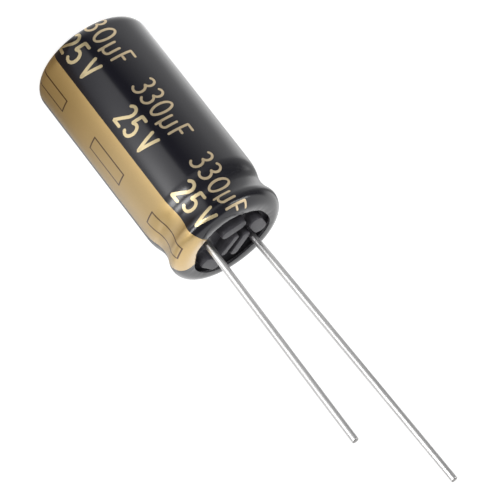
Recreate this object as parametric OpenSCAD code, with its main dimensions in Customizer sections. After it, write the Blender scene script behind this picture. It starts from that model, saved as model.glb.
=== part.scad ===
// Radial electrolytic capacitor: a wound foil element in a sealed aluminium can under a shrink sleeve.
// The part stands on its closed end, Z runs up to the two wires, and X runs along the line of the wires.

/* [Body] */
// Diameter of the finished body, over the sleeve
body_d = 10; // [9.6:0.05:10.6]
// Height of the finished body, from the sleeve's lower lip to the rolled rim
body_h = 20.2; // [18:0.05:26]
// Thickness of the shrink sleeve
sleeve_t = 0.1; // [0.06:0.01:0.16]
// Running gap between pieces that are pressed or wound together
fit_gap = 0.01; // [0.005:0.001:0.02]

/* [Can] */
// Wall of the drawn can
can_wall = 0.3; // [0.22:0.01:0.36]
// Thickness of the can's closed end
can_floor = 0.45; // [0.3:0.01:0.8]
// Radius round the outside edge of the closed end
base_edge_r = 1.05; // [0.7:0.05:1.4]
// Radius of the window that the sleeve leaves on the closed end
window_r = 3.45; // [2.8:0.05:3.7]
// Length of each relief line scored across the closed end
score_len = 6; // [4:0.1:6.4]
// Depth of the scored relief lines
score_depth = 0.14; // [0.06:0.01:0.2]

/* [Groove and rim] */
// Distance from the rim's top down to the middle of the groove
groove_drop = 2.42; // [2.3:0.01:2.6]
// Depth that the groove is pressed into the can's wall
groove_depth = 0.5; // [0.42:0.01:0.6]
// Depth to which the sleeve shrinks into the groove, which it bridges
film_groove_depth = 0.36; // [0.28:0.01:0.4]
// Radius of the bead that is curled over the seal
bead_r = 0.9; // [0.8:0.01:1]
// How far the bead's outside stays inside the wall's outside
bead_inset = 0.05; // [0.04:0.01:0.15]
// Radius where the wall turns into the groove
shoulder_r = 3.5; // [2.5:0.1:4]
// Angle that the can's edge is curled through, from level
curl_angle = 100; // [92:1:112]
// Angle that the sleeve follows the bead through, before its mouth is trimmed
lip_angle = 132; // [122:1:136]
// Mean radius of the sleeve's mouth
mouth_r = 3.55; // [3.5:0.01:3.65]

/* [Rubber seal] */
// Height of the rubber plug, from its underside to the floor of its top
seal_h = 4.5; // [3.6:0.05:5.2]
// Depth of the plug's top floor below the rim's top
seal_drop = 0.85; // [0.7:0.01:1]
// How far the moulded pads stand above the rim's top
pad_proud = 0.1; // [0:0.01:0.3]
// Rounding along the top of the moulded pads
pad_edge = 0.16; // [0.08:0.01:0.2]
// Height of the low collar round each wire, above the plug's floor
collar_h = 0.22; // [0.1:0.01:0.4]
// Width of the rubber collar beyond the wire
collar_w = 0.35; // [0.25:0.01:0.5]
// Chamfer round the underside of the plug
seal_chamfer = 0.35; // [0.2:0.05:0.6]

/* [Wires and tabs] */
// Distance between the two wires
lead_pitch = 5; // [4.8:0.05:5.2]
// Diameter of each wire
lead_d = 0.6; // [0.5:0.05:0.8]
// Height of the short wire's tip above the rim
short_lead = 19.85; // [8:0.05:30]
// Height of the long wire's tip above the rim
long_lead = 25.35; // [10:0.05:36]
// Distance from the top of the seal's pads up to the bend in each wire
bend_rise = 0.15; // [0.1:0.01:1]
// Outward lean of the short wire, in degrees
short_lean_angle = 0.95; // [0:0.05:2]
// Outward lean of the long wire, in degrees
long_lean_angle = 2.6; // [0:0.05:3]
// Bevel left by the cutter round each wire's tip
tip_bevel = 0.07; // [0.02:0.01:0.12]
// Diameter of the round shank of each aluminium tab
shank_d = 1.3; // [1:0.05:1.5]
// Distance from the plug's top floor down to the weld between wire and shank
weld_drop = 1.6; // [1:0.1:2.4]
// Height over which the shank is flattened into the paddle
flatten_h = 0.95; // [0.6:0.05:1.1]
// Thickness of the flattened paddle
paddle_t = 0.22; // [0.16:0.01:0.28]
// Width of the flattened paddle
paddle_w = 1.7; // [1.2:0.1:2]
// Distance that the paddle stops short of the foil's lower edge
paddle_short = 1; // [0.5:0.1:3]

/* [Winding] */
// Thickness of the etched anode foil
anode_t = 0.1; // [0.08:0.01:0.12]
// Thickness of the cathode foil
cathode_t = 0.05; // [0.03:0.01:0.06]
// Thickness of each separator paper
paper_t = 0.05; // [0.03:0.01:0.06]
// Turns wound before the tabs are laid in
turns_inside = 5; // [3:1:6]
// Height of the papers
paper_h = 12.6; // [10:0.1:13]
// How far each foil stays inside the papers at both edges
foil_inset = 0.6; // [0.3:0.05:1]
// Clear height between the can's floor and the papers
base_clear = 0.35; // [0.1:0.05:0.6]
// Least clear space between the winding and the can's wall
side_clear = 0.1; // [0.05:0.01:0.2]
// Thickness of the tape that closes the winding
tape_t = 0.06; // [0.04:0.01:0.1]
// How far the tape stays inside the papers at both edges
tape_inset = 1.2; // [0.5:0.1:3]

/* [Hidden] */
$fn = 128;

// The can's outer wall and the heights that everything is set from
can_r = body_d / 2 - sleeve_t - fit_gap;
can_base_z = sleeve_t + fit_gap;
inner_base_z = can_base_z + can_floor;
rim_z = body_h - sleeve_t - fit_gap;
inner_r = can_r - can_wall;

// Centres of the base edge and bead arcs, each as [radius, height], and the groove's height
base_c = [can_r - base_edge_r, can_base_z + base_edge_r];
bead_c = [can_r - bead_inset - bead_r, rim_z - bead_r];
groove_z = body_h - groove_drop;
groove_rise = bead_c[1] - groove_z;

// Seal heights, and the pads and bars moulded on its top
floor_z = body_h - seal_drop;
seal_base_z = floor_z - seal_h;
seal_grip_a = 40;
seal_slope_w = 0.28;
pad_h = seal_drop + pad_proud;
pad_root = 0.1;
// Each pad runs from one point to another, as [[x, y], [x, y], width]
PADS = [
    [[1.25, -1.1], [0.3, -1.98], 1.05],
    [[0.03, 1.25], [-0.15, -0.45], 0.66],
    [[-1.2, 1.3], [-1.26, -0.5], 0.84],
    [[-1.5, -1.85], [-2.35, -1.2], 1.3],
    [[1.35, 2.15], [0.1, 2.65], 1.1]
];

// The sleeve's mouth: where it swells in or out, as [direction, reach, spread] in degrees and millimetres
LOBES = [
    [-14, -0.26, 11],
    [-50, 0.1, 13],
    [-84, -0.26, 15],
    [-122, -0.08, 18],
    [-158, 0.14, 18],
    [150, -0.1, 22],
    [95, 0.05, 25],
    [28, -0.2, 16]
];
mouth_steps = 90;
mouth_cut_z = rim_z - bead_r;

// Winding: each layer's distance from the anode foil, the pitch of a turn and the pocket for the tabs
first_paper_o = anode_t + fit_gap;
cathode_o = first_paper_o + paper_t + fit_gap;
second_paper_o = cathode_o + cathode_t + fit_gap;
turn_pitch = second_paper_o + paper_t + fit_gap;
pocket = paddle_t + 3 * fit_gap;
tab_half = 2 * turns_inside;
core_r = lead_pitch / 2 - pocket / 2 - cathode_o - cathode_t
    - (turns_inside - 0.25) * turn_pitch;
room = inner_r - side_clear - tape_t - core_r - pocket - 1.25 * turn_pitch;
last_half = floor(2 * room / turn_pitch);
paper_z = inner_base_z + base_clear;
foil_z = paper_z + foil_inset;
foil_h = paper_h - 2 * foil_inset;

// Wires and tabs
weld_z = floor_z - weld_drop;
paddle_z = foil_z + paddle_short;
paddle_top_z = paper_z + paper_h + 2 * fit_gap;
shank_z = paddle_top_z + flatten_h;

// Points of an arc about c, from angle a to angle b
function arc(c, r, a, b, n) = [for (i = [0:n]) c + r * [cos(a + (b - a) * i / n), sin(a + (b - a) * i / n)]];

// Points of a list in the opposite order
function turned(p) = [for (i = [len(p) - 1:-1:0]) p[i]];

// A neck's surface from the straight side up to the bead, at a distance o outside a wall
// whose groove is depth deep: its groove arc touches the bead's arc above and the shoulder's below
function neck_path(o, end_a, depth) =
    let (
        groove_in = can_r - depth - bead_c[0],
        groove_r = (pow(groove_in, 2) + pow(groove_rise, 2) - pow(bead_r, 2)) / (2 * (bead_r - groove_in)),
        groove_c = [can_r - depth + groove_r, groove_z],
        shoulder_run = groove_c[0] - can_r + shoulder_r,
        shoulder_rise = sqrt(pow(shoulder_r + groove_r, 2) - shoulder_run * shoulder_run),
        shoulder_c = [can_r - shoulder_r, groove_z - shoulder_rise],
        shoulder_a = atan2(shoulder_rise, shoulder_run),
        bead_a = atan2(groove_rise, groove_c[0] - bead_c[0])
    )
    concat(
        arc(shoulder_c, shoulder_r + o, 0, shoulder_a, 6),
        arc(groove_c, groove_r - o, 180 + shoulder_a, 180 - bead_a, 10),
        arc(bead_c, bead_r + o, -bead_a, end_a, 18));

// Radius of the sleeve's mouth in direction a, with each lobe a smooth swelling
function mouth(a, i = 0) = i == len(LOBES) ? mouth_r
    : mouth(a, i + 1) + LOBES[i][1] * exp(-pow(apart(a, LOBES[i][0]) / LOBES[i][2], 2));

// Smallest angle between two directions
function apart(a, b) = abs((a - b + 540) % 360 - 180);

// Radius and centre of one half turn of a layer that lies o outside the anode foil;
// the layer steps out by the tabs' pocket during half turn number step
function half_r(j, o, step) = core_r + o + j * turn_pitch / 2
    + (j < step ? 0 : j == step ? pocket / 2 : pocket);
function half_x(j, step) = (j % 2 == 0 ? -1 : 1) * (turn_pitch / 4 + (j == step ? pocket / 2 : 0));

// One half turn of a layer, above the X axis for an even number and below it for an odd one
module half_turn(j, o, t, step) {
    r = half_r(j, o, step);
    translate([half_x(j, step), 0]) intersection() {
        difference() {
            circle(r + t);
            circle(r);
        }
        translate([-body_d, j % 2 == 0 ? 0 : -body_d]) square([2 * body_d, body_d]);
    }
}

// A strip wound from one half turn to another
module wound_strip(o, t, step, first, last, z, h) {
    translate([0, 0, z]) linear_extrude(h)
        for (j = [first:last]) half_turn(j, o, t, step);
}

// A bar moulded on the seal, with round ends and a rounded top edge
module moulded_bar(a, b, w, h) {
    half = concat([[0, 0], [w / 2, 0]], arc([w / 2 - pad_edge, h - pad_edge], pad_edge, 0, 90, 5), [[0, h]]);
    run = norm(b - a);
    translate([a[0], a[1], floor_z - pad_root]) rotate(atan2(b[1] - a[1], b[0] - a[0])) {
        for (x = run > 0 ? [0, run] : [0]) translate([x, 0, 0]) rotate_extrude() polygon(half);
        if (run > 0) rotate([90, 0, 90]) linear_extrude(run)
            polygon(concat(half, [for (p = turned(half)) if (p[0] > 0) [-p[0], p[1]]]));
    }
}

// Shrink sleeve: film over the closed end's edge, the wall, the groove and the bead, with a wavy mouth
module sleeve() {
    color([0.1, 0.1, 0.12]) difference() {
        rotate_extrude() polygon(concat(
            [[window_r, 0]],
            arc(base_c, base_edge_r + fit_gap + sleeve_t, -90, 0, 8),
            neck_path(fit_gap + sleeve_t, lip_angle, film_groove_depth),
            turned(neck_path(fit_gap, lip_angle, film_groove_depth)),
            turned(arc(base_c, base_edge_r + fit_gap, -90, 0, 8)),
            [[window_r, sleeve_t]]));
        translate([0, 0, mouth_cut_z]) linear_extrude(body_h)
            polygon([for (i = [0:mouth_steps - 1])
                let (a = 360 * i / mouth_steps) mouth(a) * [cos(a), sin(a)]]);
    }
}

// Drawn aluminium can: closed end with a scored cross, pressed groove and curled edge
module can() {
    inner_edge_r = base_edge_r - can_wall;
    color([0.8, 0.81, 0.82]) difference() {
        rotate_extrude() polygon(concat(
            [[0, can_base_z]],
            arc(base_c, base_edge_r, -90, 0, 8),
            neck_path(0, curl_angle, groove_depth),
            turned(neck_path(-can_wall, curl_angle, groove_depth)),
            turned(arc([base_c[0], inner_base_z + inner_edge_r], inner_edge_r, -90, 0, 6)),
            [[0, inner_base_z]]));
        for (a = [45, 135]) translate([0, 0, can_base_z]) rotate([0, 0, a]) rotate([45, 0, 0])
            cube([score_len, score_depth * sqrt(2), score_depth * sqrt(2)], center = true);
    }
}

// Rubber plug: gripped by the groove, with stepped holes for the wires and pads moulded on its top
module rubber_seal() {
    hold = -can_wall - fit_gap;
    wall_r = can_r + hold;
    color([0.22, 0.22, 0.23]) difference() {
        union() {
            rotate_extrude() polygon(concat(
                [[0, seal_base_z], [wall_r - seal_chamfer, seal_base_z]],
                [[wall_r, seal_base_z + seal_chamfer]],
                neck_path(hold, seal_grip_a, groove_depth),
                [[bead_c[0] - seal_slope_w, floor_z], [0, floor_z]]));
            for (p = PADS) moulded_bar(p[0], p[1], p[2], pad_h + pad_root);
            for (s = [-1, 1]) moulded_bar([s * lead_pitch / 2, 0], [s * lead_pitch / 2, 0],
                lead_d + 2 * collar_w, collar_h + pad_root);
        }
        for (s = [-1, 1]) translate([s * lead_pitch / 2, 0, 0]) {
            translate([0, 0, seal_base_z - 1])
                cylinder(h = weld_z - seal_base_z + 1 + fit_gap, d = shank_d + 2 * fit_gap);
            translate([0, 0, weld_z]) cylinder(h = body_h, d = lead_d + 2 * fit_gap);
        }
    }
}

// Half of space on one side of the mitre where a wire bends, seen from the bend
module mitre_side(tilt, above) {
    rotate([0, tilt, 0]) translate([-lead_d, -lead_d, above ? 0 : -body_h])
        cube([2 * lead_d, 2 * lead_d, above ? 3 * body_h : body_h]);
}

// Tinned wire: upright through the seal, then leaning outwards to a cut tip, with a mitre at the bend
module wire(side, tip_h, lean) {
    bend_z = body_h + pad_proud + bend_rise;
    run = (body_h + tip_h - bend_z) / cos(lean);
    translate([side * lead_pitch / 2, 0, bend_z]) {
        intersection() {
            translate([0, 0, weld_z + fit_gap - bend_z])
                cylinder(h = bend_z - weld_z + lead_d, d = lead_d);
            mitre_side(side * lean / 2, false);
        }
        intersection() {
            rotate([0, side * lean, 0]) translate([0, 0, -lead_d])
                cylinder(h = run - tip_bevel + lead_d, d = lead_d);
            mitre_side(side * lean / 2, true);
        }
        rotate([0, side * lean, 0]) translate([0, 0, run - tip_bevel])
            cylinder(h = tip_bevel, d1 = lead_d, d2 = lead_d - 2 * tip_bevel);
    }
}

module cathode_lead() {
    color([0.82, 0.83, 0.84]) wire(1, short_lead, short_lean_angle);
}

module anode_lead() {
    color([0.82, 0.83, 0.84]) wire(-1, long_lead, long_lean_angle);
}

// Aluminium tab: a round shank up to the weld, flattened into a paddle that lies against its foil.
// The paddle is the part within paddle_w of two half turns laid in the pocket outside that foil.
module tab(side, o, step) {
    translate([0, 0, paddle_z]) linear_extrude(paddle_top_z - paddle_z) intersection() {
        for (j = side > 0 ? [tab_half - 1, tab_half] : [tab_half, tab_half + 1])
            half_turn(j, o, paddle_t, step);
        translate([side > 0 ? 0 : -body_d, -paddle_w / 2]) square([body_d, paddle_w]);
    }
    translate([side * lead_pitch / 2, 0, 0]) {
        hull() {
            translate([-paddle_t / 2, -paddle_w / 2, paddle_top_z - fit_gap])
                cube([paddle_t, paddle_w, fit_gap]);
            translate([0, 0, shank_z - fit_gap]) cylinder(h = fit_gap, d = shank_d, $fn = 32);
        }
        translate([0, 0, shank_z - fit_gap]) cylinder(h = weld_z - shank_z + fit_gap, d = shank_d);
    }
}

module cathode_tab() {
    color([0.75, 0.76, 0.77]) tab(1, cathode_o + cathode_t + fit_gap, tab_half);
}

module anode_tab() {
    color([0.75, 0.76, 0.77]) tab(-1, anode_t + fit_gap, tab_half + 1);
}

// The wound layers: each steps out past the tabs in its own half turn, so that both paddles find a pocket
module anode_foil() {
    color([0.62, 0.63, 0.62]) wound_strip(0, anode_t, tab_half + 1, 1, last_half - 1, foil_z, foil_h);
}

module first_paper() {
    color([0.85, 0.79, 0.66]) wound_strip(first_paper_o, paper_t, tab_half, 0, last_half, paper_z, paper_h);
}

module cathode_foil() {
    color([0.74, 0.75, 0.76]) wound_strip(cathode_o, cathode_t, tab_half, 1, last_half - 1, foil_z, foil_h);
}

module second_paper() {
    color([0.8, 0.74, 0.6])
        wound_strip(second_paper_o, paper_t, tab_half - 1, 0, last_half, paper_z, paper_h);
}

module winding_tape() {
    color([0.9, 0.82, 0.5]) wound_strip(turn_pitch, tape_t, tab_half - 1, last_half - 1, last_half,
        paper_z + tape_inset, paper_h - 2 * tape_inset);
}

sleeve();
can();
rubber_seal();
cathode_lead();
anode_lead();
cathode_tab();
anode_tab();
anode_foil();
cathode_foil();
first_paper();
second_paper();
winding_tape();
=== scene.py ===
"""Radial electrolytic capacitor: its visible surfaces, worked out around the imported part.

The part stands on its closed end with the two wires up. Sizes are in millimetres until a mesh is made.
"""

import math

import bpy
import numpy as np
from mathutils import Matrix, Vector


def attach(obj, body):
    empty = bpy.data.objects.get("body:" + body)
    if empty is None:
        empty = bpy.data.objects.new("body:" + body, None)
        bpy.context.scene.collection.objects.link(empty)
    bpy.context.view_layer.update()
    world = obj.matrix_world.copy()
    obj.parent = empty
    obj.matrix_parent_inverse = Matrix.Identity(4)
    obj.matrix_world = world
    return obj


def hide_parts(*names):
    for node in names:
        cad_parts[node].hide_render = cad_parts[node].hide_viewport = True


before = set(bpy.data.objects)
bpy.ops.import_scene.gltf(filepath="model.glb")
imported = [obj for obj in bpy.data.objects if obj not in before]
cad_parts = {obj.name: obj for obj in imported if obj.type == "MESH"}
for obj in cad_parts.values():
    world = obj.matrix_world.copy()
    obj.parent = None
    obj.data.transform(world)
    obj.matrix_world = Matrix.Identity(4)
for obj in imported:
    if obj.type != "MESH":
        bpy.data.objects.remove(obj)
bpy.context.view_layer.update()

MM = 0.001

# The can's outer wall: its radius and heights, and the radii of its base edge, bead and shoulder arcs.
# An arc's centre is (radius, height).
CAN_R = 4.89
CLOSED_END_Z = 0.11
RIM_Z = 20.09
BASE_EDGE_R = 1.05
BASE_C = np.array([CAN_R - BASE_EDGE_R, CLOSED_END_Z + BASE_EDGE_R])
BEAD_R = 0.9
# How far the bead's outside stays inside the wall's
BEAD_STEP_IN = 0.05
BEAD_C = np.array([CAN_R - BEAD_STEP_IN - BEAD_R, RIM_Z - BEAD_R])
SHOULDER_R = 3.5
GROOVE_Z = 17.78
# How deep the groove is pressed into the can, and how far the film that bridges it shrinks into it
CAN_GROOVE_DEPTH = 0.5
FILM_GROOVE_DEPTH = 0.36

# The shrink film: how far its two faces lie outside the can, and the radii of its window and its mouth
FILM_OUT = 0.096
FILM_IN = 0.014
WINDOW_R = 3.45
MOUTH_R = 3.55
# Where the film's mouth swells in or out: direction, reach and spread
MOUTH_LOBES = (
    (-14, -0.26, 11),
    (-50, 0.1, 13),
    (-84, -0.26, 15),
    (-122, -0.08, 18),
    (-158, 0.14, 18),
    (150, -0.1, 22),
    (95, 0.05, 25),
    (28, -0.2, 16),
)

# The rubber seal: its top's floor, its underside, its pads as (from, to, width), and the wires' collars
SEAL_FLOOR_Z = 19.35
SEAL_BASE_Z = 14.85
PAD_TOP_Z = 20.295
PADS = (
    ((1.25, -1.1), (0.3, -1.98), 1.05),
    ((0.03, 1.25), (-0.15, -0.45), 0.66),
    ((-1.2, 1.3), (-1.26, -0.5), 0.84),
    ((-1.5, -1.85), (-2.35, -1.2), 1.3),
    ((1.35, 2.15), (0.1, 2.65), 1.1),
)
COLLAR_W = 0.35
COLLAR_H = 0.22
# Over what width the edge of a pad and a collar falls off, and how far inside its outline that starts
PAD_FALL, PAD_FALL_START = 0.13, 0.08
COLLAR_FALL, COLLAR_FALL_START = 0.2, 0.12
# The radius of the top's even floor
SEAL_TOP_R = 3.62
# How far inside the can's outer wall the seal lies, and the radius of its holes round the tabs' shanks
SEAL_INSET = 0.312
SHANK_HOLE_R = 0.662
# The heights below and above the seal where the cutter of its holes ends
CUTTER_ENDS_Z = (SEAL_BASE_Z - 0.5, 21.0)

# The wires: spacing, radius, hole in the seal, weld to the tab, bend, and each tip's height and lean
LEAD_PITCH = 5.0
LEAD_R = 0.3
WIRE_HOLE_R = LEAD_R + 0.011
WELD_Z = 17.76
BEND_Z = 20.45
BEND_LENGTH = 0.6
SHORT_TIP_Z, SHORT_LEAN = 40.05, 0.95
LONG_TIP_Z, LONG_LEAN = 45.55, 2.6
# The tip's length, the heights of its rings, and how far its last rings narrow and are pinched
TIP_LENGTH = 0.3
TIP_HEIGHTS = np.array([0.1, 0.2, 0.235, 0.26, 0.28, 0.296])
TIP_NARROWING = np.array([0.008, 0.026, 0.06, 0.11])
TIP_PINCH = (0.01, 0.02, 0.03, 0.04, 0.05)
RINGS_ON_CUT = 3

# The camera, in metres, degrees and pixels: how far off, how turned, and where the body's middle lands
PICTURE = 500
BODY_MIDDLE = Vector((0, 0, 10.175)) * MM
CAMERA_DISTANCE = 0.311
FOCAL_PIXELS = 3991.0
CAMERA_RISE = 24.54
CAMERA_TURN = -39.07
UP_AXIS_IN_PICTURE = (0.6124, -0.7906)
MIDDLE_PIXEL = (158.7, 147.8)


# Meshes

def add_piece(name, points, faces, material, sharp=None):
    """A piece from points in millimetres and lists of faces, smooth but for edges past sharp degrees."""
    mesh = bpy.data.meshes.new(name)
    mesh.from_pydata((np.asarray(points).reshape(-1, 3) * MM).tolist(), [], faces)
    mesh.validate()
    mesh.polygons.foreach_set("use_smooth", np.ones(len(mesh.polygons), bool))
    if sharp is not None:
        mesh.set_sharp_from_angle(angle=math.radians(sharp))
    mesh.materials.append(material)
    made = bpy.data.objects.new(name, mesh)
    bpy.context.scene.collection.objects.link(made)
    return made


def mark_points(made, label, values):
    """Keeps a number for each point of the piece's mesh, for its material to read."""
    numbers = made.data.attributes.new(label, "FLOAT", "POINT")
    numbers.data.foreach_set("value", values.ravel().astype(np.float32))


def grid_faces(rows, columns, rows_meet):
    """Four-sided faces over a grid whose columns always close, and whose last row may meet the first."""
    i = np.arange(rows if rows_meet else rows - 1)[:, None] * np.ones(columns, int)
    j = np.arange(columns)[None, :] + 0 * i
    next_i = (i + 1) % rows
    next_j = (j + 1) % columns
    corners = [i * columns + j, i * columns + next_j, next_i * columns + next_j, next_i * columns + j]
    return np.stack(corners, -1).reshape(-1, 4).tolist()


def volume(points, faces):
    """Six times the signed volume inside a closed surface: the sum of its triangles' triple products."""
    p = np.asarray(points).reshape(-1, 3)
    total = 0.0
    for count in (3, 4):
        f = np.array([face for face in faces if len(face) == count])
        for k in range(1, count - 1 if len(f) else 0):
            total += np.sum(p[f[:, 0]] * np.cross(p[f[:, k]], p[f[:, k + 1]]))
    return total


def outward(points, faces):
    """The faces, turned round if they point inwards."""
    return faces if volume(points, faces) > 0 else [face[::-1] for face in faces]


def closed_ends(grid):
    """A grid of rings made into a closed surface: each end ring gets a fan of triangles to its middle."""
    rows, columns = grid.shape[:2]
    points = np.vstack([grid.reshape(-1, 3), grid[0].mean(0), grid[-1].mean(0)])
    j = np.arange(columns)
    k = (j + 1) % columns
    middle = rows * columns + 0 * j
    last = (rows - 1) * columns
    fans = np.stack([np.stack([middle, k, j], 1), np.stack([middle + 1, last + j, last + k], 1)], 1)
    faces = grid_faces(rows, columns, False) + fans.reshape(-1, 3).tolist()
    return points, outward(points, faces)


# The can's wall, and the film on it

def arc(centre, radius, start, end, count, side=1):
    """Points of an arc between two angles, in columns: r, z, and the r and z of the normal times side."""
    a = np.radians(np.linspace(start, end, count))
    normal = np.stack([np.cos(a), np.sin(a)], 1)
    return np.hstack([centre + radius * normal, side * normal])


def neck(depth):
    """The arcs of a neck with a groove depth deep. The groove's arc touches the bead's and the shoulder's.

    Gives the groove's centre and radius, the shoulder's centre, and the angles where shoulder and bead end.
    """
    groove_in = CAN_R - depth - BEAD_C[0]
    groove_rise = BEAD_C[1] - GROOVE_Z
    groove_r = (groove_in**2 + groove_rise**2 - BEAD_R**2) / (2 * (BEAD_R - groove_in))
    groove_c = np.array([CAN_R - depth + groove_r, GROOVE_Z])
    shoulder_run = groove_c[0] - CAN_R + SHOULDER_R
    shoulder_rise = math.sqrt((SHOULDER_R + groove_r) ** 2 - shoulder_run**2)
    shoulder_c = np.array([CAN_R - SHOULDER_R, GROOVE_Z - shoulder_rise])
    shoulder_end = math.degrees(math.atan2(shoulder_rise, shoulder_run))
    bead_end = math.degrees(math.atan2(groove_rise, groove_c[0] - BEAD_C[0]))
    return groove_c, groove_r, shoulder_c, shoulder_end, bead_end


GROOVE_C, GROOVE_R, SHOULDER_C, SHOULDER_ANGLE, BEAD_ANGLE = neck(FILM_GROOVE_DEPTH)

# How many points the closed end and the bead have in the table, and how far inside the window it starts
CLOSED_END_POINTS = 20
BEAD_POINTS = 200
WINDOW_MARGIN = 0.2


def wall_table():
    """What the film lies on, from the window on the closed end up round the bead, with the film's length.

    The length equals the height on the straight wall, so a pattern on the flat film keeps its pitch.
    """
    flat = np.linspace(WINDOW_R - WINDOW_MARGIN, BASE_C[0], CLOSED_END_POINTS)
    ring = np.stack([flat, 0 * flat + CLOSED_END_Z, 0 * flat, 0 * flat - 1], 1)
    path = np.vstack([
        ring,
        arc(BASE_C, BASE_EDGE_R, -90, 0, 60),
        arc(SHOULDER_C, SHOULDER_R, 0, SHOULDER_ANGLE, 60),
        arc(GROOVE_C, GROOVE_R, 180 + SHOULDER_ANGLE, 180 - BEAD_ANGLE, 80, -1),
        arc(BEAD_C, BEAD_R, -BEAD_ANGLE, 140, BEAD_POINTS),
    ])
    film = path[:, :2] + FILM_OUT * path[:, 2:]
    steps = np.hypot(*np.diff(film, axis=0).T)
    run = np.concatenate([[0], np.cumsum(steps)])
    keep = np.concatenate([[True], np.diff(run) > 1e-9])
    wall = np.argmax((path[:, 1] >= BASE_C[1] - 1e-9) & (path[:, 0] > CAN_R - 1e-9))
    return run[keep] - run[wall] + BASE_C[1], path[keep]


RUN, WALL = wall_table()
RUN_AT_BEAD = float(RUN[-BEAD_POINTS])
BEAD_OUT_R = BEAD_R + FILM_OUT
# The film's length at the edge of its window, and where its print starts
WINDOW_RUN = RUN[0] + WINDOW_MARGIN + 0.05
PRINT_START = RUN[0] + 0.4
# The angle on the bead past which the film turns in towards its mouth
TURN_IN = 60
# The angle past which it runs straighter than the bead, and how far it stands off per length squared
CURL_START = 88
CURL = 0.3
# How far the film's long waves and its folds near the mouth stand off
WAVE_HEIGHT = 0.0011
FOLD_HEIGHT = 0.0035


def run_at_bead_angle(angle):
    """The film's length at an angle on the bead, counted from level outwards."""
    return RUN_AT_BEAD + np.radians(angle + BEAD_ANGLE) * BEAD_OUT_R


def mouth_run(azimuth):
    """The film's length at its mouth: the bead angle where the film reaches the mouth's wavy radius."""
    radius = MOUTH_R + 0 * azimuth
    for direction, reach, spread in MOUTH_LOBES:
        apart = (azimuth - direction + 540) % 360 - 180
        radius = radius + reach * np.exp(-((apart / spread) ** 2))
    return run_at_bead_angle(np.degrees(np.arccos((radius - BEAD_C[0]) / BEAD_OUT_R)))


def ripple(azimuth, run):
    """How far the film stands off its even face: long faint waves, and short folds towards the mouth."""
    a = np.radians(azimuth)
    waves = np.sin(5 * a + 0.9 * run) + np.sin(9 * a - 0.55 * run + 1.3) + np.sin(3 * a + 1.7 * run + 4)
    folds = np.sin(17 * a + 0.7) + np.sin(29 * a + 2.1) + 0.6 * np.sin(41 * a + 5.2)
    near_mouth = np.clip((run - run_at_bead_angle(TURN_IN)) / 0.9, 0, 1) ** 2
    return WAVE_HEIGHT * waves + FOLD_HEIGHT * folds * near_mouth


def on_film(azimuth, run, lift):
    """Points lift millimetres outside the can at the film's length run, turned to azimuth in degrees.

    Past CURL_START on the bead the film stands off more, by CURL times the square of the length past it.
    """
    lift = lift + CURL * np.clip(run - run_at_bead_angle(CURL_START), 0, None) ** 2
    r = np.interp(run, RUN, WALL[:, 0]) + lift * np.interp(run, RUN, WALL[:, 2])
    z = np.interp(run, RUN, WALL[:, 1]) + lift * np.interp(run, RUN, WALL[:, 3])
    a = np.radians(azimuth)
    return np.stack([r * np.cos(a), r * np.sin(a), z], -1)


def film_rows(marks, mouth, counts):
    """Lengths along the film: evenly spaced from mark to mark, then on to the mouth's own lengths."""
    parts = [np.linspace(a, b, n, endpoint=False) for a, b, n in zip(marks, marks[1:], counts)]
    share = np.linspace(0, 1, counts[-1])[:, None]
    return np.vstack([np.concatenate(parts)[:, None] + 0 * mouth, marks[-1] + (mouth - marks[-1]) * share])


def sleeve_film(material):
    """The film as a closed surface: its outer face, rounded lip, inner face and rounded window edge.

    Rows run along the film's length and columns round it, so a point is on_film(azimuth, run, lift). The
    last rows stretch to the mouth's own length in each direction.
    """
    columns = 384
    azimuth = np.arange(columns) * 360 / columns - 180
    marks = (
        WINDOW_RUN,
        np.interp(BASE_C[0], WALL[:CLOSED_END_POINTS, 0], RUN[:CLOSED_END_POINTS]),
        BASE_C[1],
        SHOULDER_C[1],
        SHOULDER_C[1] + np.radians(SHOULDER_ANGLE) * (SHOULDER_R + FILM_OUT),
        RUN_AT_BEAD,
        run_at_bead_angle(TURN_IN),
    )
    mouth = mouth_run(azimuth)
    outer = film_rows(marks, mouth, (3, 12, 40, 14, 20, 26, 20))
    inner = film_rows(marks, mouth, (2, 8, 12, 8, 12, 14, 10))[::-1]
    middle, half = (FILM_OUT + FILM_IN) / 2, (FILM_OUT - FILM_IN) / 2
    round_off = np.radians(np.linspace(0, 180, 9)[1:-1])[:, None]
    top_run = mouth + half * np.sin(round_off)
    top_lift = middle + half * np.cos(round_off) + 0 * azimuth
    low_run = WINDOW_RUN - half * np.sin(round_off) + 0 * azimuth
    low_lift = middle - half * np.cos(round_off) + 0 * azimuth
    run = np.vstack([outer, top_run, inner, low_run])
    lift = np.vstack([FILM_OUT + 0 * outer, top_lift, FILM_IN + 0 * inner, low_lift])
    lift = lift + ripple(azimuth, run) * np.clip((lift - FILM_IN) / (FILM_OUT - FILM_IN), 0, 1)
    grid = on_film(azimuth, run, lift)
    faces = outward(grid, grid_faces(len(run), columns, True))
    made = add_piece("sleeve_film", grid, faces, material, sharp=50)
    mark_points(made, "film_run", run)
    return made


# The printed rating, in strokes on the flat film: x along the film's length, y round it

def bow(centre, reach, start, end, count=16):
    """Points of an oval arc about centre between two angles."""
    a = np.radians(np.linspace(start, end, count))
    return np.stack([centre[0] + reach[0] * np.cos(a), centre[1] + reach[1] * np.sin(a)], 1)


def line(*corners):
    """Points along straight lines between corners, ten to each."""
    parts = [np.linspace(a, b, 10)[:-1] for a, b in zip(corners, corners[1:])]
    return np.vstack(parts + [np.array(corners[-1:])])


def stroke(*parts, closes=False):
    """One stroke of a sign: its points from end to end, and whether it closes."""
    return np.vstack(parts), closes


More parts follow.
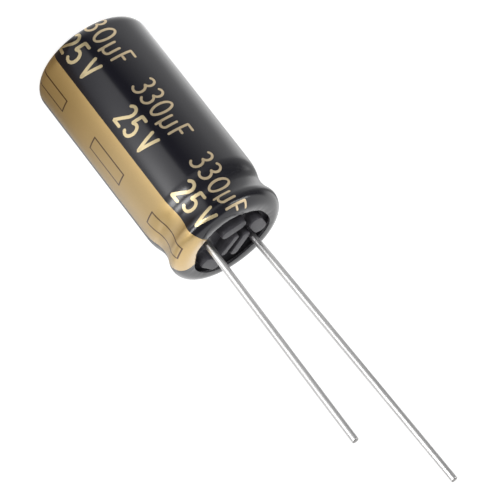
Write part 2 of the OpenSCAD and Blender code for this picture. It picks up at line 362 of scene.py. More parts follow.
# Each sign is drawn one unit wide and 2.09 high
SIGNS = {
    "2": [stroke(bow((0.47, 1.53), (0.4, 0.47), 160, -25), line((0.8, 1.2), (0.06, 0.1), (0.92, 0.1)))],
    "3": [stroke(bow((0.44, 1.56), (0.36, 0.44), 150, -80), bow((0.46, 0.6), (0.43, 0.51), 85, -150))],
    "5": [
        stroke(line((0.86, 2.0), (0.22, 2.0), (0.13, 1.14)), bow((0.45, 0.66), (0.43, 0.58), 125, -150)),
    ],
    "0": [stroke(bow((0.48, 1.04), (0.41, 0.95), 0, 352.5, 48), closes=True)],
    "V": [stroke(line((0.02, 2.0), (0.47, 0.1), (0.92, 2.0)))],
    "u": [
        stroke(line((0.12, 1.44), (0.12, -0.24))),
        stroke(bow((0.45, 0.42), (0.33, 0.34), 180, 360), line((0.78, 0.5), (0.78, 1.44))),
    ],
    "F": [stroke(line((0.86, 2.0), (0.12, 2.0), (0.12, 0.09))), stroke(line((0.2, 1.1), (0.72, 1.1)))],
}

# The repeat along the film, and each row: its foot's direction, stroke width, and (sign, place, width)
PRINT_PITCH = 7.94
PRINT_REPEATS = (-1, 0, 1)
FILM_R = CAN_R + FILM_OUT
VOLT_ROW = (17.5, 0.28, (("2", 8.1, 0.97), ("5", 9.3, 1.0), ("V", 11.06, 0.95)))
FARAD_ROW = (
    -12.5,
    0.215,
    (("3", 6.8, 1.0), ("3", 7.96, 1.0), ("0", 9.25, 1.02), ("u", 10.56, 1.05), ("F", 11.85, 1.0)),
)
# How far the ink's face stands over the film and its foot reaches into it
INK_TOP = 0.006
INK_ROOT = 0.004
# The spacing of a stroke's points, and the fewest that it may have left above the film's window
INK_STEP = 0.035
FEWEST_INK_POINTS = 6


def along(path, closes):
    """The path's points spaced evenly, with the direction across it to the left."""
    loop = np.vstack([path, path[:1]]) if closes else path
    steps = np.hypot(*np.diff(loop, axis=0).T)
    run = np.concatenate([[0], np.cumsum(np.maximum(steps, 1e-6))])
    count = max(int(run[-1] / INK_STEP), 8)
    even = np.linspace(0, run[-1], count, endpoint=not closes)
    points = np.stack([np.interp(even, run, loop[:, k]) for k in (0, 1)], 1)
    if closes:
        ahead = np.roll(points, -1, 0) - np.roll(points, 1, 0)
    else:
        ahead = np.gradient(points, axis=0)
    ahead /= np.hypot(*ahead.T)[:, None]
    return points, np.stack([-ahead[:, 1], ahead[:, 0]], 1), even


def ink_stroke(path, closes, width, foot):
    """A flat ribbon of ink along a path on the film, with a rounded start and end.

    A point of the path goes to on_film(azimuth of y, run x); the ribbon's face is INK_TOP over the film.
    """
    points, left, even = along(path, closes)
    half = np.full(len(points), width / 2)
    if not closes:
        from_end = np.minimum(even, even[-1] - even)
        half = half * np.sqrt(np.clip(1 - np.clip(1 - from_end / (width / 2), 0, 1) ** 2, 0.03, 1))
    across = np.array([-1, -0.97, -0.5, 0, 0.5, 0.97, 1, 0])
    lift = FILM_OUT + np.where(np.abs(across) < 0.98, INK_TOP, -INK_ROOT)
    lift[-1] = FILM_OUT - INK_ROOT
    spread = points[:, None] + left[:, None] * (half[:, None] * across)[..., None]
    azimuth = CAMERA_TURN + foot - np.degrees(spread[..., 1] / FILM_R)
    run = spread[..., 0]
    return on_film(azimuth, run, lift + ripple(azimuth, run))


def rating_print(name, row, material):
    """One row of the rating on its repeats, as far as the film's window and mouth."""
    foot, width, signs = row
    points, faces = [], []
    count = 0
    for repeat in PRINT_REPEATS:
        for sign, place, wide in signs:
            for path, closes in SIGNS[sign]:
                flat = path * (wide, 1) + (place + repeat * PRINT_PITCH, 0)
                if closes and flat[:, 0].min() < PRINT_START:
                    continue
                flat = flat[flat[:, 0] > PRINT_START]
                if len(flat) < FEWEST_INK_POINTS:
                    continue
                grid = ink_stroke(flat, closes, width, foot)
                if closes:
                    p, f = grid.reshape(-1, 3), grid_faces(*grid.shape[:2], True)
                    f = outward(p, f)
                else:
                    p, f = closed_ends(grid)
                points.append(p)
                faces += [[k + count for k in face] for face in f]
                count += len(p)
    return add_piece(name, np.vstack(points), faces, material, sharp=40)


# The rubber seal

def ease(share):
    """The share, kept between 0 and 1, with a soft start and a soft end."""
    share = np.clip(share, 0, 1)
    return share * share * (3 - 2 * share)


def seal_top(x, y):
    """Height of the seal's top: its floor, with each pad and collar a plateau that falls off smoothly.

    A pad is highest within its half width of the line between its two ends, less its edge's rounding.
    """
    height = SEAL_FLOOR_Z + 0.012 * np.sin(2.1 * x + 0.4) * np.sin(1.7 * y)
    for start, end, width in PADS:
        span = np.array(end) - np.array(start)
        share = ((x - start[0]) * span[0] + (y - start[1]) * span[1]) / float(span @ span)
        share = np.clip(share, 0, 1)
        off = np.hypot(x - start[0] - share * span[0], y - start[1] - share * span[1]) - width / 2
        top = PAD_TOP_Z - 0.02 * np.clip(1 + off / (width / 2), 0, 1) ** 2
        on_pad = 1 - ease((off + PAD_FALL_START) / PAD_FALL)
        height = np.maximum(height, SEAL_FLOOR_Z + (top - SEAL_FLOOR_Z) * on_pad)
    for side in (-1, 1):
        off = np.hypot(x - side * LEAD_PITCH / 2, y) - LEAD_R - COLLAR_W
        on_collar = 1 - ease((off + COLLAR_FALL_START) / COLLAR_FALL)
        height = np.maximum(height, SEAL_FLOOR_Z + COLLAR_H * on_collar)
    return height


def rubber_seal(material):
    """The plug as rings from the middle of its top to the middle of its underside.

    Within the mouth a ring's points have the height seal_top(x, y). Outside it the ring follows the profile
    that the can's bead, groove and wall press into the rubber.
    """
    columns = 400
    a = np.radians(np.arange(columns) * 360 / columns)
    top_r = np.concatenate([np.linspace(0.02, 0.4, 8), np.linspace(0.44, SEAL_TOP_R, 112)])[:, None]
    x, y = top_r * np.cos(a), top_r * np.sin(a)
    top = np.stack([x, y, seal_top(x, y)], -1)
    groove_c, groove_r, shoulder_c, shoulder_end, bead_end = neck(CAN_GROOVE_DEPTH)
    side = np.vstack([
        arc(BEAD_C, BEAD_R - SEAL_INSET, 40, -bead_end, 20),
        arc(groove_c, groove_r + SEAL_INSET, 180 - bead_end, 180 + shoulder_end, 24),
        arc(shoulder_c, SHOULDER_R - SEAL_INSET, shoulder_end, 0, 12),
    ])[:, :2]
    wall_r = CAN_R - SEAL_INSET
    slope = np.linspace((SEAL_TOP_R + 0.04, SEAL_FLOOR_Z + 0.002), side[0], 6)[:-1]
    wall = np.linspace((wall_r, shoulder_c[1] - 0.05), (wall_r, SEAL_BASE_Z + 0.35), 5)
    foot = np.array([[wall_r - 0.1, SEAL_BASE_Z + 0.1], [wall_r - 0.35, SEAL_BASE_Z + 0.002]])
    under = np.stack([np.linspace(wall_r - 0.8, 0.05, 8), np.full(8, SEAL_BASE_Z + 0.002)], 1)
    profile = np.vstack([slope, side, wall, foot, under])
    rings = np.stack([
        profile[:, :1] * np.cos(a),
        profile[:, :1] * np.sin(a),
        profile[:, 1:] + 0 * a,
    ], -1)
    points, faces = closed_ends(np.concatenate([top, rings]))
    made = add_piece("rubber_seal_top", points, faces, material)
    for hole_side in (-1, 1):
        bore_wire_hole(made, hole_side)
    return made


def bore_wire_hole(seal, side):
    """Cuts one stepped hole: wide round the tab's shank up to the weld, then close round the wire."""
    steps = (
        (SHANK_HOLE_R, CUTTER_ENDS_Z[0]),
        (SHANK_HOLE_R, WELD_Z),
        (WIRE_HOLE_R, WELD_Z + 0.001),
        (WIRE_HOLE_R, CUTTER_ENDS_Z[1]),
    )
    a = np.radians(np.arange(72) * 5)
    middle = side * LEAD_PITCH / 2
    rings = [np.stack([middle + r * np.cos(a), r * np.sin(a), z + 0 * a], -1) for r, z in steps]
    points, faces = closed_ends(np.stack(rings))
    cutter = add_piece("wire_hole", points, faces, seal.data.materials[0])
    cut = seal.modifiers.new("wire_hole", "BOOLEAN")
    cut.operation = "DIFFERENCE"
    cut.solver = "EXACT"
    cut.object = cutter
    with bpy.context.temp_override(object=seal, active_object=seal):
        bpy.ops.object.modifier_apply(modifier="wire_hole")
    bpy.data.objects.remove(cutter)


# The wires

def tinned_wire(name, side, tip_z, lean, material):
    """A round wire swept up its middle line: upright in the seal, then leaning outwards past a short bend.

    The lean grows smoothly over BEND_LENGTH about the bend. The last rings narrow to the cut tip, whose
    flat is pinched a little along one direction by the cutter. The cut_end attribute is 1 on the cut.
    """
    upright = np.linspace(WELD_Z, BEND_Z - 0.3, 5)
    bend = np.linspace(BEND_Z - 0.25, BEND_Z + 0.35, 13)
    leaning = np.linspace(BEND_Z + 0.55, tip_z - TIP_LENGTH, 90)
    z = np.concatenate([upright, bend, leaning])
    full_slope = math.tan(math.radians(lean))
    slope = full_slope * ease((z - BEND_Z) / BEND_LENGTH + 0.5)
    x = np.concatenate([[0], np.cumsum((slope[1:] + slope[:-1]) / 2 * np.diff(z))])
    x, z = np.concatenate([x, x[-1] + TIP_HEIGHTS * full_slope]), np.concatenate([z, z[-1] + TIP_HEIGHTS])
    radius = np.full(len(z), LEAD_R - 0.002)
    radius += 0.0009 * np.sin(1.9 * z) * np.sin(0.83 * z + side)
    radius[-len(TIP_NARROWING):] = LEAD_R - TIP_NARROWING
    pinch = np.zeros(len(z))
    pinch[-len(TIP_PINCH):] = TIP_PINCH
    angle = np.arctan2(np.gradient(x), np.gradient(z))
    a = np.radians(np.arange(48) * 7.5)
    across = radius[:, None] * np.cos(a) * (1 - pinch[:, None])
    grid = np.stack([
        side * (LEAD_PITCH / 2 + x[:, None] + across * np.cos(angle)[:, None]),
        radius[:, None] * np.sin(a),
        z[:, None] - across * np.sin(angle)[:, None],
    ], -1)
    points, faces = closed_ends(grid)
    made = add_piece(name, points, faces, material, sharp=55)
    bare = np.zeros(len(points))
    bare[(len(z) - RINGS_ON_CUT) * len(a):len(z) * len(a)] = 1
    bare[-1] = 1
    mark_points(made, "cut_end", bare)
    return made


# Materials

def put(tree, kind, settings=None, **inputs):
    """A node with its settings. An input is called by its name, with _ for a space, or in_ and a number."""
    made = tree.nodes.new("ShaderNode" + kind)
    for key, value in (settings or {}).items():
        setattr(made, key, value)
    for key, value in inputs.items():
        socket = made.inputs[int(key[3:]) if key.startswith("in_") else key.replace("_", " ")]
        if isinstance(value, bpy.types.NodeSocket):
            tree.links.new(value, socket)
        else:
            socket.default_value = value
    return made


def sums(tree, operation, *values):
    """The result of a Math node on these values."""
    inputs = {f"in_{k}": value for k, value in enumerate(values)}
    return put(tree, "Math", {"operation": operation}, **inputs).outputs[0]


def product(tree, first, *others):
    """The values multiplied together."""
    for other in others:
        first = sums(tree, "MULTIPLY", first, other)
    return first


def fade(tree, value, low, high, at_low=0.0, at_high=1.0, kind="SMOOTHSTEP"):
    """A level that goes from at_low to at_high, as kind says, while the value goes from low to high."""
    limits = {"From_Min": low, "From_Max": high, "To_Min": at_low, "To_Max": at_high}
    return put(tree, "MapRange", {"interpolation_type": kind}, Value=value, **limits).outputs[0]


def blend_level(tree, mask, first, second):
    """The first level where the mask is 0 and the second where it is 1."""
    return put(tree, "Mix", {"data_type": "FLOAT"}, in_0=mask, in_2=first, in_3=second).outputs[0]


def blend_colour(tree, mask, first, second):
    """The first colour where the mask is 0 and the second where it is 1."""
    return put(tree, "Mix", {"data_type": "RGBA"}, in_0=mask, in_6=first, in_7=second).outputs[2]


def new_group(name, inputs, outputs):
    """An empty node group and its two end nodes. Inputs are (name, kind, value), outputs (name, kind)."""
    tree = bpy.data.node_groups.new(name, "ShaderNodeTree")
    for label, kind, value in inputs:
        socket = tree.interface.new_socket(name=label, in_out="INPUT", socket_type="NodeSocket" + kind)
        socket.default_value = value
    for label, kind in outputs:
        tree.interface.new_socket(name=label, in_out="OUTPUT", socket_type="NodeSocket" + kind)
    return tree, tree.nodes.new("NodeGroupInput"), tree.nodes.new("NodeGroupOutput")


def use_group(tree, group, **inputs):
    """A copy of the group in a material, with its own values."""
    return put(tree, "Group", {"node_tree": group}, **inputs)


def rgba(*colour):
    """The colour with nothing see-through."""
    return (*colour, 1.0)


def grain_group():
    """Grain: fine and coarse noise in the object's millimetres, stretched as asked, as tone and height."""
    tree, given, out = new_group(
        "grain",
        [("Stretch", "Vector", (1, 1, 1)), ("Fine", "Float", 4.0), ("Coarse", "Float", 0.5)],
        [("Tone", "Float"), ("Height", "Float")],
    )
    stretch, fine_size, coarse_size = [given.outputs[label] for label in ("Stretch", "Fine", "Coarse")]
    place = put(tree, "TexCoord").outputs["Object"]
    in_mm = put(tree, "VectorMath", {"operation": "SCALE"}, in_0=place, Scale=1 / MM).outputs[0]
    pulled = put(tree, "VectorMath", {"operation": "MULTIPLY"}, in_0=in_mm, in_1=stretch).outputs[0]
    fine = put(tree, "TexNoise", Vector=pulled, Scale=fine_size, Detail=3.0, Roughness=0.6).outputs[0]
    coarse = put(tree, "TexNoise", Vector=pulled, Scale=coarse_size, Detail=2.0).outputs[0]
    both = sums(tree, "MULTIPLY_ADD", fine, 0.5, product(tree, coarse, 0.5))
    tree.links.new(both, out.inputs["Tone"])
    tree.links.new(fine, out.inputs["Height"])
    return tree


# The stripe's edges and the bars in it, as directions round the body and lengths along the film
STRIPE_LOW = CAMERA_TURN + 25
STRIPE_HIGH = CAMERA_TURN + 77
BAR_LOW = CAMERA_TURN + 42.5
BAR_HIGH = CAMERA_TURN + 58
BAR_START = 7.75
BAR_LENGTH = 4.15
BAR_LINE = 0.13
# How soft the edges of the print are: the stripe's in degrees round the body, the bars' in millimetres
STRIPE_SOFTNESS = 0.12
BAR_SOFTNESS = 0.012


def stripe_group():
    """The film's gold stripe and the outlined bars in it, by direction round the body and film length."""
    tree, _, out = new_group("gold_stripe", [], [("Stripe", "Float"), ("Outline", "Float")])
    place = put(tree, "SeparateXYZ", in_0=put(tree, "TexCoord").outputs["Object"])
    turn = sums(tree, "ARCTAN2", place.outputs[1], place.outputs[0])
    azimuth = product(tree, turn, 180 / math.pi)
    run = put(tree, "Attribute", {"attribute_name": "film_run"}).outputs["Fac"]
    # Near the mouth, where the film has shrunk in over the bead, the stripe is a little wider
    drawn_in = fade(tree, run, 19.2, 20.6)
    low_edge = sums(tree, "MULTIPLY_ADD", drawn_in, -1.5, STRIPE_LOW)
    above = sums(tree, "SUBTRACT", azimuth, low_edge)
    below = sums(tree, "SUBTRACT", STRIPE_HIGH, azimuth)
    stripe = fade(tree, sums(tree, "MINIMUM", above, below), -STRIPE_SOFTNESS, STRIPE_SOFTNESS)
    tree.links.new(stripe, out.inputs["Stripe"])
    # Distance inside the bar's edge, on the flat film, taken as the least over its four sides
    folded = sums(tree, "WRAP", sums(tree, "SUBTRACT", run, BAR_START), PRINT_PITCH, 0.0)
    across = product(tree, sums(tree, "SUBTRACT", azimuth, BAR_LOW), math.radians(FILM_R))
    wide = math.radians(FILM_R) * (BAR_HIGH - BAR_LOW)
    sides = sums(tree, "MINIMUM", across, sums(tree, "SUBTRACT", wide, across))
    ends = sums(tree, "MINIMUM", folded, sums(tree, "SUBTRACT", BAR_LENGTH, folded))
    inside = sums(tree, "MINIMUM", sides, ends)
    outer = fade(tree, inside, -BAR_SOFTNESS, BAR_SOFTNESS)
    inner = fade(tree, inside, BAR_LINE - BAR_SOFTNESS, BAR_LINE + BAR_SOFTNESS)
    tree.links.new(sums(tree, "SUBTRACT", outer, inner), out.inputs["Outline"])
    return tree


def new_material(name):
    """An empty material with its shader, and the tree that they are in."""
    made = bpy.data.materials.new(name)
    made.use_nodes = True
    return made, made.node_tree, made.node_tree.nodes["Principled BSDF"]


def bump(tree, height, distance, strength, shader):
    """Small relief on the shader's normal, its height given in metres."""
    made = put(tree, "Bump", Height=height, Distance=distance, Strength=strength)
    tree.links.new(made.outputs[0], shader.inputs["Normal"])


# How strongly the film's plastic bends light
FILM_IOR = 1.53


def film_material(grain, stripe):
    """Glossy black shrink film with the metallic stripe printed on it."""
    made, tree, shader = new_material("sleeve_film")
    marks = use_group(tree, stripe)
    gold_mask = marks.outputs["Stripe"]
    line_mask = product(tree, marks.outputs["Outline"], gold_mask)
    flakes = use_group(tree, grain, Fine=9.0, Coarse=0.35)
    tone = flakes.outputs["Tone"]
    black = blend_colour(tree, tone, rgba(0.0050, 0.0048, 0.0095), rgba(0.0080, 0.0077, 0.0135))
    gold = blend_colour(tree, tone, rgba(0.455, 0.315, 0.125), rgba(0.575, 0.405, 0.17))
    printed = blend_colour(tree, line_mask, gold, rgba(0.085, 0.04, 0.012))
    tree.links.new(blend_colour(tree, gold_mask, black, printed), shader.inputs["Base Color"])
    tree.links.new(product(tree, gold_mask, 0.9), shader.inputs["Metallic"])
    rough_black = sums(tree, "MULTIPLY_ADD", tone, 0.05, 0.16)
    rough_gold = sums(tree, "MULTIPLY_ADD", tone, 0.1, 0.42)
    tree.links.new(blend_level(tree, gold_mask, rough_black, rough_gold), shader.inputs["Roughness"])
    shader.inputs["IOR"].default_value = FILM_IOR
    tree.links.new(gold_mask, shader.inputs["Coat Weight"])
    shader.inputs["Coat IOR"].default_value = FILM_IOR
    shader.inputs["Coat Roughness"].default_value = 0.18
    bump(tree, flakes.outputs["Height"], 0.000004, 0.35, shader)
    return made


def ink_material(name, grain, dark, pale):
    """Metallic ink of the rating, with the faint grain of its flakes."""
    made, tree, shader = new_material(name)
    flakes = use_group(tree, grain, Fine=11.0, Coarse=0.8)
    colour = blend_colour(tree, flakes.outputs["Tone"], rgba(*dark), rgba(*pale))
    tree.links.new(colour, shader.inputs["Base Color"])
    shader.inputs["Metallic"].default_value = 0.7
    rough = sums(tree, "MULTIPLY_ADD", flakes.outputs["Tone"], 0.12, 0.32)
    tree.links.new(rough, shader.inputs["Roughness"])
    bump(tree, flakes.outputs["Height"], 0.000004, 0.3, shader)
    return made


def grained_material(
    name, grain, dark, pale, metallic, rough,
    stretch=(1, 1, 1), fine=4.0, coarse=0.5, relief=0.00001, shine=0.5,
):
    """A finish whose colour, roughness and relief follow the grain: rough is (least, most)."""
    made, tree, shader = new_material(name)
    marks = use_group(tree, grain, Stretch=stretch, Fine=fine, Coarse=coarse)
    spread = fade(tree, marks.outputs["Tone"], 0.3, 0.7)
    tree.links.new(blend_colour(tree, spread, rgba(*dark), rgba(*pale)), shader.inputs["Base Color"])
    shader.inputs["Metallic"].default_value = metallic
    least, most = rough
    tree.links.new(sums(tree, "MULTIPLY_ADD", spread, most - least, least), shader.inputs["Roughness"])
    shader.inputs["Specular IOR Level"].default_value = shine
    bump(tree, marks.outputs["Height"], relief, 0.5, shader)
    return made


def darken_cut_end(finish, bare):
    """Shows the wire's bare core, in the colour bare, where the mesh's cut_end attribute is 1."""
    tree = finish.node_tree
    shader = tree.nodes["Principled BSDF"]
    cut = put(tree, "Attribute", {"attribute_name": "cut_end"}).outputs["Fac"]
    tin = shader.inputs["Base Color"].links[0].from_socket
    tree.links.new(blend_colour(tree, cut, tin, bare), shader.inputs["Base Color"])


grain = grain_group()
stripe = stripe_group()
black_film = film_material(grain, stripe)
volt_ink = ink_material("volt_ink", grain, (0.48, 0.39, 0.22), (0.74, 0.615, 0.375))
farad_ink = ink_material("farad_ink", grain, (0.60, 0.47, 0.29), (0.76, 0.62, 0.41))
seal_rubber = grained_material(
    "seal_rubber", grain, (0.050, 0.049, 0.056), (0.092, 0.089, 0.101), 0.0, (0.3, 0.46),
    fine=14.0, coarse=1.2, relief=0.000012, shine=0.22,
)
wire_tin = grained_material(
    "wire_tin", grain, (0.66, 0.655, 0.655), (0.79, 0.785, 0.78), 1.0, (0.29, 0.4),
    stretch=(5, 5, 0.16), fine=3.0, coarse=1.0, relief=0.000003,
)
darken_cut_end(wire_tin, rgba(0.2, 0.195, 0.19))
drawn_aluminium = grained_material(
    "drawn_aluminium", grain, (0.70, 0.71, 0.72), (0.84, 0.845, 0.85), 1.0, (0.24, 0.38),
    stretch=(3, 0.3, 3), fine=4.0, coarse=0.4, relief=0.000005,
)
tab_aluminium = grained_material(
    "tab_aluminium", grain, (0.62, 0.63, 0.64), (0.80, 0.80, 0.81), 1.0, (0.28, 0.45),
    stretch=(2, 2, 0.4), fine=4.0, coarse=1.0, relief=0.000006,
)
etched_anode = grained_material(
    "etched_anode", grain, (0.36, 0.37, 0.37), (0.50, 0.51, 0.50), 0.6, (0.6, 0.8),
    fine=20.0, coarse=1.0,
)
etched_cathode = grained_material(
    "etched_cathode", grain, (0.50, 0.51, 0.52), (0.64, 0.65, 0.66), 0.7, (0.5, 0.7),
    fine=16.0, coarse=1.0,
)
soaked_paper = grained_material(
    "soaked_paper", grain, (0.50, 0.40, 0.24), (0.68, 0.58, 0.38), 0.0, (0.6, 0.85),
    stretch=(1, 1, 0.35), fine=9.0, coarse=1.4, relief=0.00002,
)
closing_tape = grained_material(
    "closing_tape", grain, (0.62, 0.50, 0.20), (0.74, 0.62, 0.30), 0.0, (0.2, 0.35),
    fine=5.0, coarse=0.5, relief=0.000004,
)

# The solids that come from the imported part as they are, and their finishes
CARRIED_OVER = {
    "can": drawn_aluminium,
    "cathode_tab": tab_aluminium,
    "anode_tab": tab_aluminium,
    "anode_foil": etched_anode,
    "cathode_foil": etched_cathode,
    "first_paper": soaked_paper,
    "second_paper": soaked_paper,
    "winding_tape": closing_tape,
}
for node_name, finish in CARRIED_OVER.items():
    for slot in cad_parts[node_name].material_slots:
        slot.material = finish

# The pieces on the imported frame
sleeve = sleeve_film(black_film)
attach(sleeve, "root")
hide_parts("sleeve")

for row_name, row, ink in (("volt_print", VOLT_ROW, volt_ink), ("farad_print", FARAD_ROW, farad_ink)):
    printed = rating_print(row_name, row, ink)
    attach(printed, "root")

plug = rubber_seal(seal_rubber)
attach(plug, "root")
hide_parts("rubber_seal")

short_wire = tinned_wire("short_wire", 1, SHORT_TIP_Z, SHORT_LEAN, wire_tin)
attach(short_wire, "root")
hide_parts("cathode_lead")

long_wire = tinned_wire("long_wire", -1, LONG_TIP_Z, LONG_LEAN, wire_tin)
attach(long_wire, "root")
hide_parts("anode_lead")


# The camera, as far and as turned as the photograph's

def direction(turn, rise):
    """The way from the body to a point seen turn degrees round from the camera and rise degrees up."""
    a, e = math.radians(CAMERA_TURN + turn), math.radians(rise)
    return Vector((math.cos(a) * math.cos(e), math.sin(a) * math.cos(e), math.sin(e)))


def place_camera():
    """A camera rolled until the wires point as in the photograph, and turned to set the body off centre."""
    back = direction(0, CAMERA_RISE)
    up_axis = (Vector((0, 0, 1)) - back * back.z).normalized()
    side = up_axis.cross(back).normalized()
    c, s = UP_AXIS_IN_PICTURE
    right = up_axis * c + side * s
    up = up_axis * s - side * c
    if right.cross(up).dot(back) < 0:
        right, up = up_axis * c - side * s, up_axis * s + side * c
    facing = Matrix((right, up, back)).transposed()
    half = PICTURE / 2
    towards = Vector((MIDDLE_PIXEL[0] - half, half - MIDDLE_PIXEL[1], -FOCAL_PIXELS)).normalized()
    aside = Vector((0, 0, -1)).rotation_difference(towards).to_matrix()
    data = bpy.data.cameras.new("camera")
    data.sensor_fit = "HORIZONTAL"
    data.sensor_width = 36.0
    data.lens = FOCAL_PIXELS / PICTURE * data.sensor_width
    data.clip_start = 0.01
    data.clip_end = 100.0
    made = bpy.data.objects.new("camera", data)
    bpy.context.scene.collection.objects.link(made)
    turned = (facing @ aside.transposed()).to_4x4()
    made.matrix_world = Matrix.Translation(BODY_MIDDLE + back * CAMERA_DISTANCE) @ turned
    bpy.context.scene.camera = made


place_camera()


# The floor, the card of painted reflections that the body mirrors, and the lamps

def stage_plane(name, half_size, height, material):
    """A flat square of floor or card, in metres."""
    h = half_size
    corners = [(-h, -h, height), (h, -h, height), (h, h, height), (-h, h, height)]
    mesh = bpy.data.meshes.new(name)
    mesh.from_pydata(corners, [], [(0, 1, 2, 3)])
    mesh.materials.append(material)
    made = bpy.data.objects.new(name, mesh)
    bpy.context.scene.collection.objects.link(made)
    return made


def bare_material(name):
    """A material with only its output node."""
    made = bpy.data.materials.new(name)
    made.use_nodes = True
    tree = made.node_tree
    tree.nodes.clear()
    return made, tree, tree.nodes.new("ShaderNodeOutputMaterial")


# How much light of its own the floor has
FLOOR_LIGHT = 0.88


def floor_material():
    """White floor: its own light makes it white to the camera and in mirrors, and it takes the shadow."""
    made, tree, out = bare_material("white_floor")
    path = put(tree, "LightPath")
    seen = sums(tree, "MAXIMUM", path.outputs["Is Camera Ray"], path.outputs["Is Glossy Ray"])
    seen = sums(tree, "MAXIMUM", seen, path.outputs["Is Transmission Ray"])
    own = put(tree, "Emission", Color=rgba(1, 1, 1), Strength=product(tree, seen, FLOOR_LIGHT))
    matt = put(tree, "BsdfDiffuse", Color=rgba(0.5, 0.5, 0.5))
    lit = put(tree, "AddShader", in_0=own.outputs[0], in_1=matt.outputs[0])
    clear = put(tree, "BsdfTransparent")
    below = put(tree, "NewGeometry").outputs["Backfacing"]
    either = put(tree, "MixShader", in_0=below, in_1=lit.outputs[0], in_2=clear.outputs[0])
    tree.links.new(either.outputs[0], out.inputs["Surface"])
    return made


# The body's radius on the card. Left on the card is the side of the stripe.
BODY_R = 5.0
# The painted streak of bright light on the card: where it starts, ahead of the body's middle and to the
# left of it, and its direction
STREAK_FOOT = (17.7, 2.5)
STREAK_TURN = 50.8
# How bright it is at its start, how much it gains per length squared, and how bright it is at the most
STREAK_START = 0.6
STREAK_GAIN = 0.0048
STREAK_MOST = 6.0


def distance_towards(tree, place, angle, start=(0, 0)):
    """Millimetres from start, seen from above, along the way angle degrees to the left of the camera's."""
    a = math.radians(CAMERA_TURN + angle)
    to_start = start[0] * math.cos(math.radians(angle)) + start[1] * math.sin(math.radians(angle))
    east = sums(tree, "MULTIPLY_ADD", place.outputs[0], math.cos(a) / MM, -to_start)
    return sums(tree, "MULTIPLY_ADD", place.outputs[1], math.sin(a) / MM, east)


def near_levels(tree, off, way, painted_dark_edge):
    """The painted reflection on the card near the body, as the upright wall mirrors it, on both sides of
    the painted dark edge.

    To the left it pales with distance, less so at the back, where it is paler close to the body, and it is
    a little paler by the foot ahead: the dark close to the body is painted shade of the body on the floor,
    and the paler patches are painted light. To the right it is a painted dark reflection that pales with
    the angle, most about 137 degrees round.
    """
    # Painted shade of the body on the floor near its foot: darker close to the body, paler with distance
    left = product(tree, fade(tree, off, 2.5, 31.0, 0.26, 1.1), fade(tree, way, 112.0, 150.0, 1.0, 0.5))
    # Painted light: paler close to the body at the back, and a little paler by the foot ahead
    limb = product(tree, fade(tree, way, 122.0, 160.0, 0.0, 0.45), fade(tree, off, 5.0, 32.0, 1.0, 0.1))
    by_foot = product(tree, fade(tree, way, 40.0, 56.0, 0.35, 0.0), fade(tree, off, 4.0, 26.0, 1.0, 0.0))
    left = sums(tree, "ADD", left, sums(tree, "ADD", limb, by_foot))
    # To the right of the painted dark edge, a painted dark reflection that pales with the angle
    from_pale_place = sums(tree, "ABSOLUTE", sums(tree, "ADD", way, 137.0))
    right = fade(tree, way, -92.0, -28.0, 1.05, 0.1, "LINEAR")
    right = sums(tree, "ADD", right, fade(tree, from_pale_place, 6.0, 27.0, 0.45, 0.0))
    right = product(tree, right, fade(tree, way, -170.0, -138.0, 0.72, 1.0))
    return blend_level(tree, painted_dark_edge, right, left)


def far_levels(tree, off, way):
    """The painted reflection on the card further off, as the wires and the neck mirror it.

    It is palest ahead, greyer to the left and greyest to the right, and all three dim with distance. Far
    behind the body it is brighter than white.
    """
    right = fade(tree, off, 45.0, 160.0, 0.55, 0.25, "LINEAR")
    ahead = fade(tree, off, 100.0, 190.0, 0.86, 0.25)
    left = product(tree, fade(tree, off, 100.0, 190.0, 0.72, 0.5), fade(tree, way, 84.0, 124.0, 1.0, 1.3))
    front = blend_level(tree, fade(tree, way, -54.0, -12.0), right, ahead)
    front = blend_level(tree, fade(tree, way, 14.0, 46.0), front, left)
    front = product(tree, front, fade(tree, off, 190.0, 600.0, 1.0, 0.6))
    behind = fade(tree, sums(tree, "ABSOLUTE", way), 104.0, 140.0)
    return blend_level(tree, product(tree, behind, fade(tree, off, 85.0, 150.0)), front, 1.6)


def painted_streak_levels(tree, place, off, painted_dark_edge):
    """A painted band of bright light on the card, which grows with the square of the length along it and
    ends softly.
    """
    length = sums(tree, "MAXIMUM", distance_towards(tree, place, STREAK_TURN, STREAK_FOOT), 0.0)
    across = distance_towards(tree, place, STREAK_TURN - 90, STREAK_FOOT)
    rise = sums(tree, "MULTIPLY_ADD", product(tree, length, length), STREAK_GAIN, STREAK_START)
    band = product(tree, fade(tree, across, -8.5, 0.5, 0.0, 0.86), fade(tree, across, 3.0, 20.0, 1.0, 0.3))
    ends = fade(tree, off, 36.0, 50.0, 1.0, 0.0)
    return product(tree, sums(tree, "MINIMUM", rise, STREAK_MOST), band, painted_dark_edge, ends)


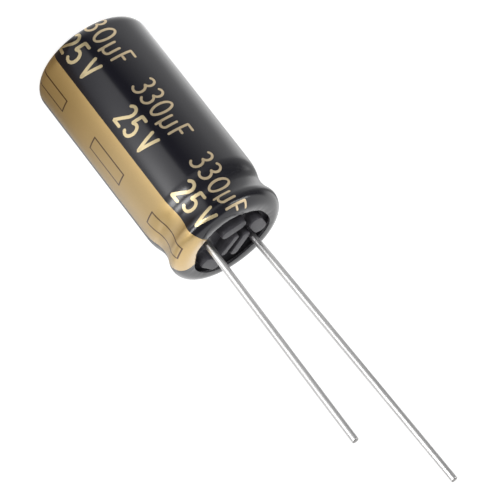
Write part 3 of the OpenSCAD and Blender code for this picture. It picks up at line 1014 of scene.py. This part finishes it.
def painted_reflection_card_material():
    """Painted reflection: what the body and the wires mirror of the floor, painted as a light of its own.

    off is the distance off the body's wall, and way the direction seen from the foot's nearest point to the
    camera, in degrees to the left. Past the wall's reach the near levels change to the far ones. The
    painted streak of light and the painted glow of a lamp ahead add to them. To the left the painted light
    is warm close to the body.
    """
    made, tree, out = bare_material("painted_reflection_card")
    place = put(tree, "SeparateXYZ", in_0=put(tree, "TexCoord").outputs["Object"])
    ahead, aside = distance_towards(tree, place, 0), distance_towards(tree, place, 90)
    off = sums(tree, "SQRT", sums(tree, "MULTIPLY_ADD", ahead, ahead, product(tree, aside, aside)))
    off = sums(tree, "SUBTRACT", off, BODY_R)
    way = sums(tree, "ARCTAN2", aside, sums(tree, "SUBTRACT", ahead, BODY_R))
    way = product(tree, way, 180 / math.pi)
    # Right of this edge the card is a painted dark reflection, left of it the paler painted levels
    painted_dark_edge = fade(tree, way, -9.0, -6.0)
    near, far = near_levels(tree, off, way, painted_dark_edge), far_levels(tree, off, way)
    painted_floor_level = blend_level(tree, fade(tree, off, 40.0, 47.0), near, far)
    streak = painted_streak_levels(tree, place, off, painted_dark_edge)
    # The painted glow of a lamp ahead, on the card
    lamp_sides = fade(tree, way, -2.0, 22.0), fade(tree, way, 34.0, 56.0, 1.0, 0.0)
    painted_lamp_glow = product(tree, fade(tree, off, 50.0, 130.0, 0.0, 1.7), *lamp_sides)
    level = sums(tree, "ADD", sums(tree, "ADD", painted_floor_level, streak), painted_lamp_glow)
    white = rgba(1, 1, 1)
    # Painted warm light on the card close to the body, on the stripe's side
    warm_to_white = blend_colour(tree, fade(tree, off, 3.0, 24.0), rgba(1, 0.78, 0.5), white)
    warm_side = product(tree, fade(tree, way, 44.0, 60.0), fade(tree, way, 112.0, 150.0, 1.0, 0.0))
    painted_warm_light = blend_colour(tree, warm_side, white, warm_to_white)
    glow = put(tree, "Emission", Color=painted_warm_light, Strength=level)
    tree.links.new(glow.outputs[0], out.inputs["Surface"])
    return made


def soft_lamp(name, turn, rise, distance, width, height, level):
    """A soft lamp aimed at the body, whose face is level times as bright as white."""
    data = bpy.data.lights.new(name, "AREA")
    data.shape = "RECTANGLE"
    data.size = width
    data.size_y = height
    data.energy = level * math.pi * width * height
    made = bpy.data.objects.new(name, data)
    bpy.context.scene.collection.objects.link(made)
    away = direction(turn, rise)
    made.location = BODY_MIDDLE + away * distance
    made.rotation_euler = away.to_track_quat("Z", "Y").to_euler()


stage_plane("floor", half_size=3.0, height=0.0, material=floor_material())
# A card of painted reflections, lying on the floor: it glows for mirror rays only, with painted shade near
# the body's foot
card = stage_plane("painted_reflection_card", half_size=0.8, height=0.00001, material=painted_reflection_card_material())
card.visible_camera = False
card.visible_diffuse = False
card.visible_transmission = False
card.visible_shadow = False

soft_lamp("key_lamp", turn=26, rise=4.5, distance=0.35, width=0.27, height=0.085, level=9.5)
soft_lamp("fill_lamp", turn=-60, rise=24, distance=0.35, width=0.22, height=0.04, level=8.0)

# How bright the room is to matt faces, how bright in mirrors at the least, and how much more at the most
ROOM_LIGHT = 0.4
MIRRORED_LEAST = 0.22
MIRRORED_MORE = 1.3


def share_towards(tree, sky, way):
    """How far a ray points along a level direction: 1 straight along it, -1 straight against it."""
    return sums(tree, "MULTIPLY_ADD", sky.outputs[0], way.x, product(tree, sky.outputs[1], way.y))


def white_room():
    """The world: white to the camera, even light on matt faces, and in mirrors bright behind and above."""
    made = bpy.data.worlds.new("white_room")
    bpy.context.scene.world = made
    made.use_nodes = True
    tree = made.node_tree
    ray = put(tree, "LightPath")
    seen = sums(tree, "MAXIMUM", ray.outputs["Is Camera Ray"], ray.outputs["Is Transmission Ray"])
    sky = put(tree, "SeparateXYZ", in_0=put(tree, "TexCoord").outputs["Generated"])
    at_back = fade(tree, share_towards(tree, sky, direction(160, 0)), -0.05, 0.35)
    by_camera = fade(tree, share_towards(tree, sky, direction(0, 0)), 0.2, 0.42)
    overhead = product(tree, sums(tree, "SUBTRACT", 1.0, by_camera), fade(tree, sky.outputs[2], 0.2, 0.42))
    brightest = sums(tree, "MAXIMUM", at_back, overhead)
    mirrored = sums(tree, "MULTIPLY_ADD", brightest, MIRRORED_MORE, MIRRORED_LEAST)
    unseen = blend_level(tree, ray.outputs["Is Glossy Ray"], ROOM_LIGHT, mirrored)
    background = tree.nodes["Background"]
    background.inputs["Color"].default_value = rgba(1, 1, 1)
    tree.links.new(blend_level(tree, seen, unseen, 1.0), background.inputs["Strength"])


white_room()
bpy.context.scene.view_settings.view_transform = "Standard"
